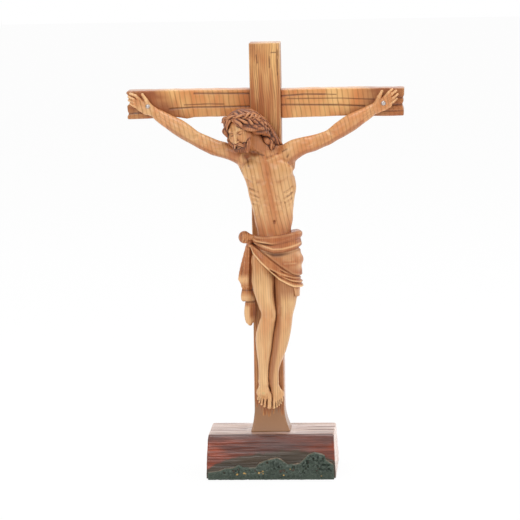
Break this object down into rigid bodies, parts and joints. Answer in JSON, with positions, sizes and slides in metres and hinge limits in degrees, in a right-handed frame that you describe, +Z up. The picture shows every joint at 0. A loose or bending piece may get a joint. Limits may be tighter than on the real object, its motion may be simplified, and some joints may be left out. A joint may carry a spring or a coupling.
{
  "type": "table crucifix",
  "caption": "Free-standing table crucifix with a carved figure pegged and nailed to a halved cross that is tenoned into a log-shaped foot block",
  "frame": {"origin": "middle of the underside of the felt, below the foot block", "axes": "+Z up along the post, -Y to the front that the figure faces, +X to the viewer's right"},
  "size_m": [0.158, 0.0562, 0.25],
  "materials": {
    "felt": "matte",
    "dark_wood": "gloss lacquer",
    "ground_paint": "satin",
    "cross_wood": "satin lacquer",
    "figure_wood": "satin lacquer",
    "crown_wood": "satin lacquer",
    "peg_wood": "plain",
    "screw_steel": "plain",
    "nail_metal": "polished"
  },
  "bodies": {
    "root": {"felt_pad": "felt", "base_block": "dark_wood", "ground_relief": "ground_paint", "upright": "cross_wood", "crossbeam": "cross_wood", "base_screw": "screw_steel", "lap_screw": "screw_steel", "body_screw": "screw_steel", "torso": "figure_wood", "head": "figure_wood", "crown": "crown_wood", "neck_peg": "peg_wood", "right_arm": "figure_wood", "left_arm": "figure_wood", "shoulder_pegs": "peg_wood", "hand_nails": "nail_metal", "right_leg": "figure_wood", "left_leg": "figure_wood", "hip_pegs": "peg_wood", "foot_nail": "nail_metal", "loincloth": "figure_wood", "cloth_knot": "figure_wood", "cloth_tail": "figure_wood"}
  },
  "joints": []
}
